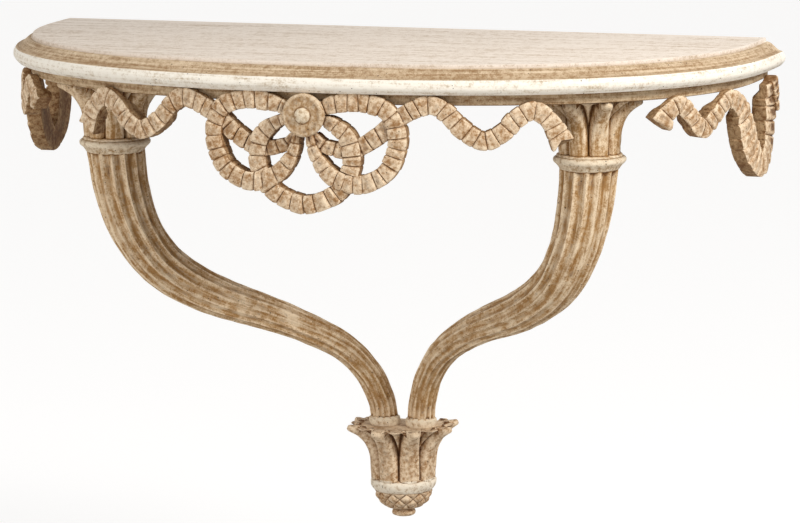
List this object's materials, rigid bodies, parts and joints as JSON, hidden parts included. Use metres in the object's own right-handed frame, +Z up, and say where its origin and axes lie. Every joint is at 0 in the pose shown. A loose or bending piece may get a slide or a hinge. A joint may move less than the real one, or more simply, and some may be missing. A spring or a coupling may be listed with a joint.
{
  "type": "carved wall console",
  "caption": "Half-round wall console: a moulded top on S-shaped fluted legs in a leaf cup, with a carved bow and ribbons along its edge.",
  "frame": {"origin": "middle of the top's flat back edge, on the wall", "axes": "+X to the right along the wall, +Y into the wall, +Z up; the front looks towards -Y"},
  "size_m": [1.2, 0.4998, 0.7611],
  "materials": {
    "top": "limed and worn, pale cream, matt",
    "apron": "limed over tan, matt",
    "ribbon": "tan with cream on the high places and dark creases, matt",
    "rosette": "limed tan, matt",
    "leg": "tan with cream dry-brushed ridges, worm holes, matt",
    "cup": "limed tan, whiter band, matt"
  },
  "bodies": {
    "root": {"top_slab": "top", "apron_board": "apron", "ribbon_front": "ribbon", "ribbon_side_left": "ribbon", "ribbon_side_right": "ribbon", "rosette": "rosette", "leg_left": "leg", "leg_right": "leg", "cup": "cup"}
  },
  "joints": []
}
